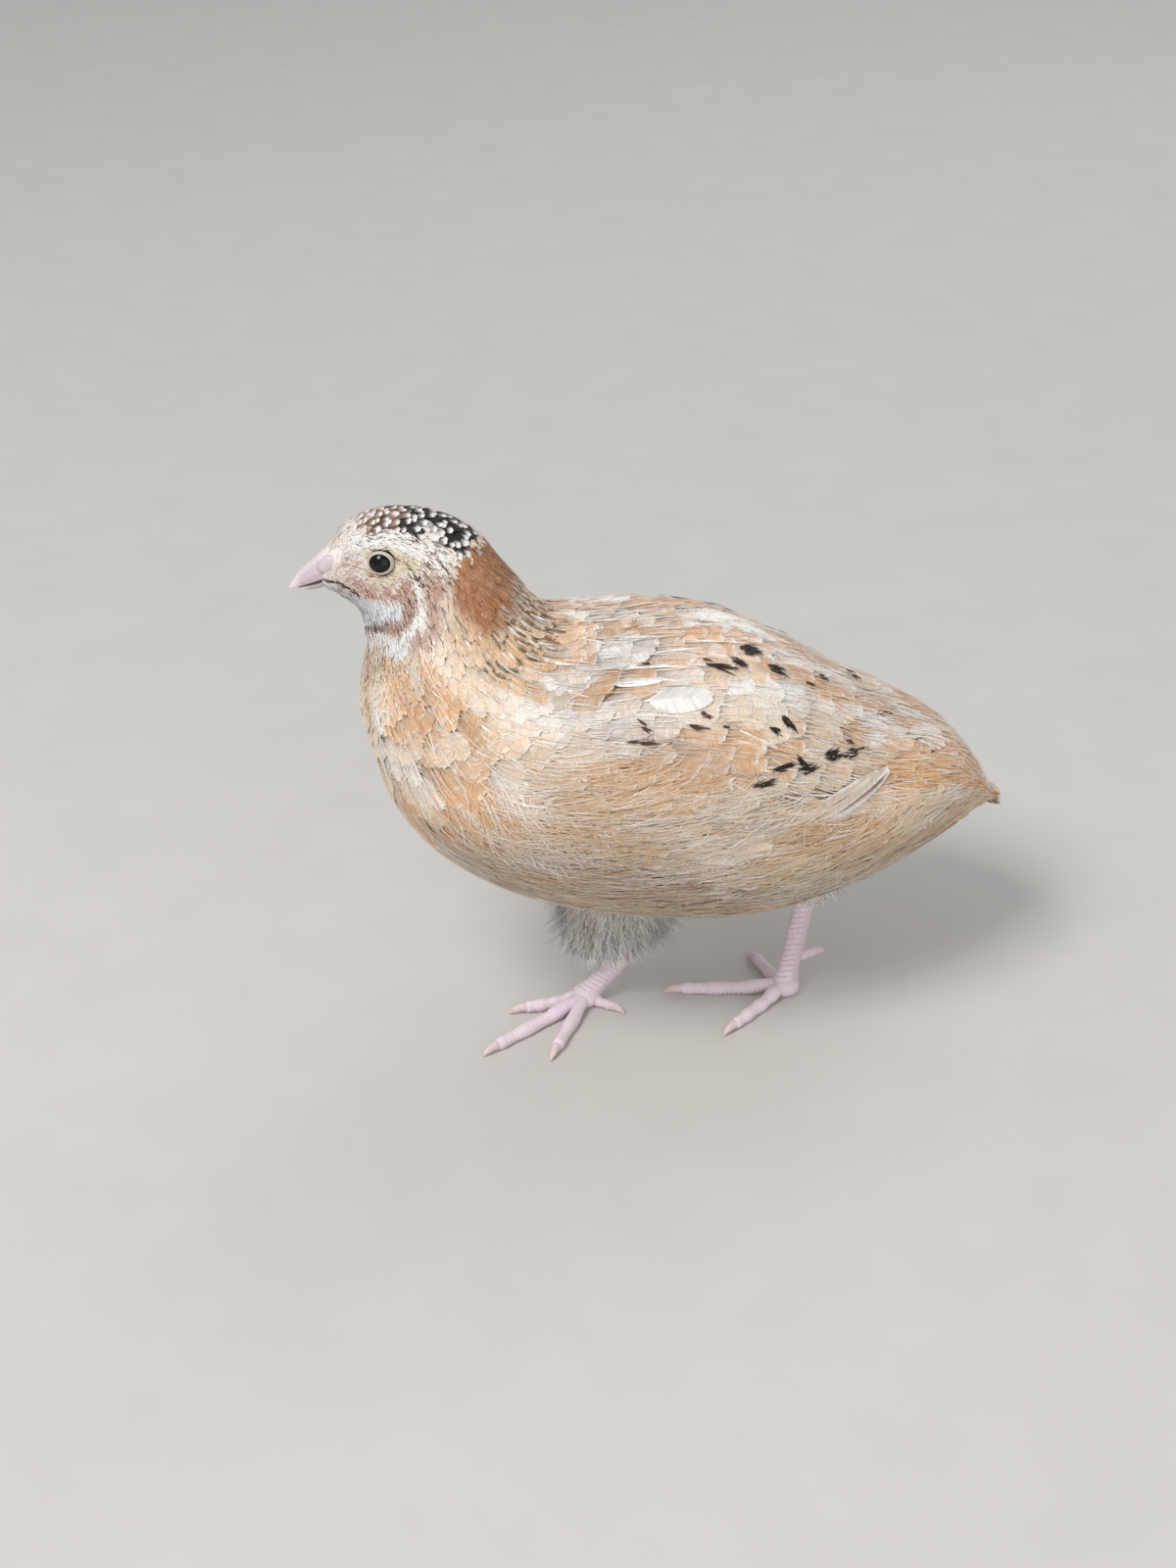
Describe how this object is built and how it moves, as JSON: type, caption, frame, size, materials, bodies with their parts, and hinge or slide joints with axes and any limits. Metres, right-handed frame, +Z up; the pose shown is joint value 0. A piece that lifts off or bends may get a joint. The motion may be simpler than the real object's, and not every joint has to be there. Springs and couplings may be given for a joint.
{
  "type": "coturnix quail",
  "caption": "Life-size still model of a domestic quail walking: plump body, small turned head, folded wings, short drooping tail, bare legs.",
  "frame": {"origin": "on the floor, under the middle of the bird's box", "axes": "+Z up, the body faces -Y with the tail towards +Y, the bird's left side towards +X"},
  "size_m": [0.0774, 0.1764, 0.1423],
  "materials": {
    "body_feathers": "soft matte feathers, cream and buff",
    "head_feathers": "fine matte feathers, white, rufous and black",
    "wing_feathers": "smooth matte feathers, cream with white shafts",
    "tail_feathers": "smooth matte feathers, orange buff and white",
    "down": "loose soft down",
    "bill": "satin horn, flesh pink",
    "eye": "wet gloss, near black",
    "leg_skin": "fine scales, satin, pale pink",
    "claw": "satin horn"
  },
  "bodies": {
    "root": {"head": "head_feathers", "bill_upper": "bill", "bill_lower": "bill", "eye_left": "eye", "eye_right": "eye", "neck": "head_feathers", "torso": "body_feathers", "wing_left": "wing_feathers", "wing_right": "wing_feathers", "tail": "tail_feathers", "thigh_left": "down", "thigh_right": "down", "tarsus_left": "leg_skin", "tarsus_right": "leg_skin", "toe_left_1": "leg_skin", "toe_left_2": "leg_skin", "toe_left_3": "leg_skin", "toe_left_4": "leg_skin", "toe_right_1": "leg_skin", "toe_right_2": "leg_skin", "toe_right_3": "leg_skin", "toe_right_4": "leg_skin", "claw_left_1": "claw", "claw_left_2": "claw", "claw_left_3": "claw", "claw_left_4": "claw", "claw_right_1": "claw", "claw_right_2": "claw", "claw_right_3": "claw", "claw_right_4": "claw"}
  },
  "joints": []
}
